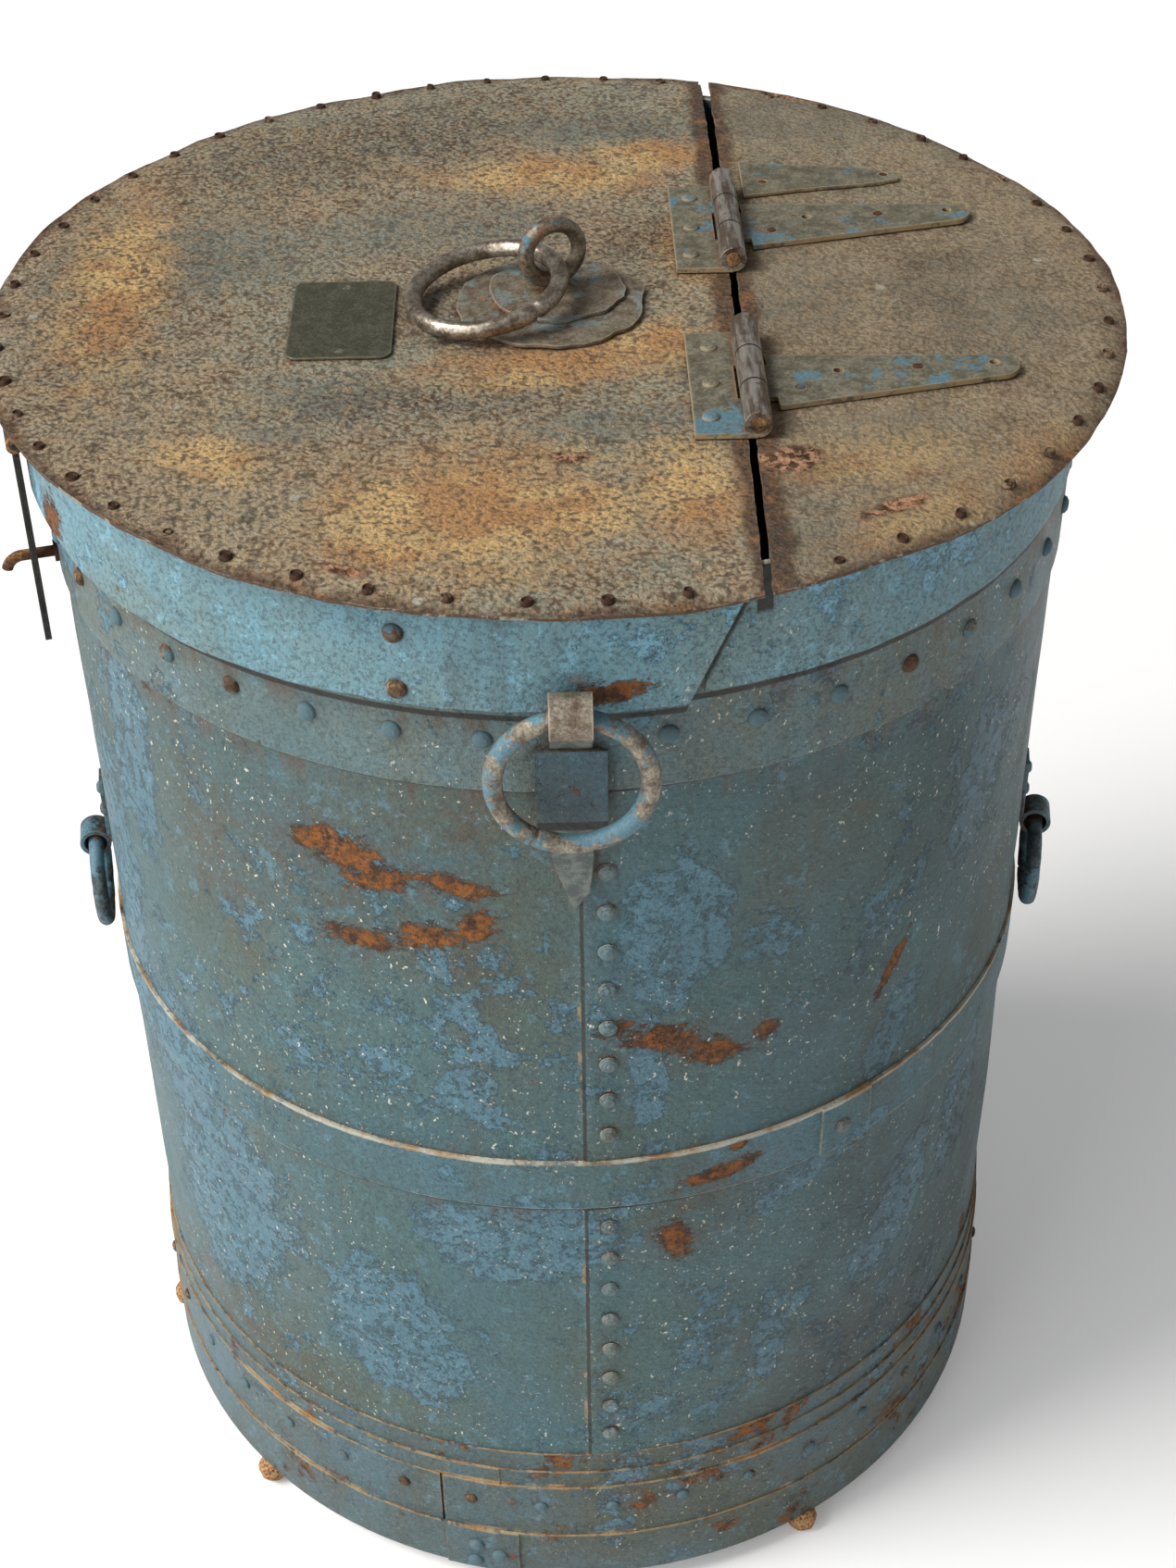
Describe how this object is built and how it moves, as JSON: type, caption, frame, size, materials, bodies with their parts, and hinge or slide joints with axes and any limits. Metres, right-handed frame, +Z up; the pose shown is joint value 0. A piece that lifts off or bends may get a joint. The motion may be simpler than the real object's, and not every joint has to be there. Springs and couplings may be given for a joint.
{
  "type": "drum",
  "caption": "Weathered riveted sheet-iron storage drum with blue paint, two-part hinged lid, lifting ring on the lid, side rings and a worn hasp",
  "frame": {"origin": "on the floor, on the drum's own axis", "axes": "+Z up, the front seam and front ring face -Y, the fixed part of the lid is on the +X side"},
  "size_m": [0.6, 0.61, 0.8044],
  "materials": {
    "blue_paint": "worn",
    "teal_paint": "worn",
    "lid_sheet": "weathered",
    "rusty_iron": "rusty",
    "worn_steel": "worn",
    "plate_metal": "dull",
    "black_iron": "weathered"
  },
  "bodies": {
    "drum": {"body_shell": "blue_paint", "bottom_plate": "rusty_iron", "upper_band": "teal_paint", "mid_hoop": "teal_paint", "base_bead": "teal_paint", "base_step": "teal_paint", "base_band": "teal_paint", "bottom_hoop": "teal_paint", "feet": "rusty_iron", "seam_rivets": "worn_steel", "band_rivets": "rusty_iron", "hoop_rivets": "worn_steel", "base_rivets": "rusty_iron", "front_strap": "rusty_iron", "front_strap_plate": "blue_paint", "left_strap": "blue_paint", "left_strap_rivets": "worn_steel", "right_strap": "blue_paint", "right_strap_rivets": "worn_steel", "staple": "rusty_iron", "fixed_lid": "lid_sheet", "fixed_skirt": "blue_paint", "fixed_rim_rivets": "rusty_iron", "fixed_skirt_rivets": "worn_steel", "back_hinge_strap": "worn_steel", "front_hinge_strap": "worn_steel", "back_hinge_pin": "rusty_iron", "front_hinge_pin": "rusty_iron", "strap_rivets": "rusty_iron", "old_strap": "worn_steel", "old_strap_rivets": "rusty_iron"},
    "flap": {"lid_flap": "lid_sheet", "flap_skirt": "blue_paint", "flap_rim_rivets": "rusty_iron", "flap_skirt_rivets": "rusty_iron", "back_hinge_leaf": "worn_steel", "front_hinge_leaf": "worn_steel", "leaf_rivets": "worn_steel", "lower_washer": "worn_steel", "upper_washer": "worn_steel", "lid_eye": "worn_steel", "nameplate": "plate_metal", "nameplate_rivet": "worn_steel", "hasp_plate": "rusty_iron", "hasp_plate_rivets": "rusty_iron", "hasp_pin": "black_iron"},
    "lid_ring": {"lid_ring": "worn_steel"},
    "hasp": {"hasp": "black_iron"},
    "front_ring": {"front_ring": "worn_steel"},
    "left_ring": {"left_ring": "worn_steel"},
    "right_ring": {"right_ring": "worn_steel"}
  },
  "joints": [
    {"name": "flap_open", "type": "hinge", "parent": "drum", "child": "flap", "pos_m": [0.096, 0, 0.7674], "axis": [0, 1, 0], "range_deg": [0, 115]},
    {"name": "lid_ring_swing", "type": "hinge", "parent": "flap", "child": "lid_ring", "pos_m": [-0.001, -0.002, 0.7794], "axis": [-0.4226, 0.9063, 0], "range_deg": [0, 188]},
    {"name": "hasp_swing", "type": "hinge", "parent": "flap", "child": "hasp", "pos_m": [-0.28158, -0.07021, 0.721], "axis": [-0.2419, 0.9703, 0], "range_deg": [0, 150]},
    {"name": "front_ring_swing", "type": "hinge", "parent": "drum", "child": "front_ring", "pos_m": [0.0025, -0.299, 0.7018], "axis": [-1, 0, 0], "range_deg": [0, 150]},
    {"name": "left_ring_swing", "type": "hinge", "parent": "drum", "child": "left_ring", "pos_m": [-0.28301, -0.03726, 0.426], "axis": [-0.1305, 0.9914, 0], "range_deg": [0, 160]},
    {"name": "right_ring_swing", "type": "hinge", "parent": "drum", "child": "right_ring", "pos_m": [0.28301, -0.03726, 0.426], "axis": [-0.1305, -0.9914, 0], "range_deg": [0, 160]}
  ]
}
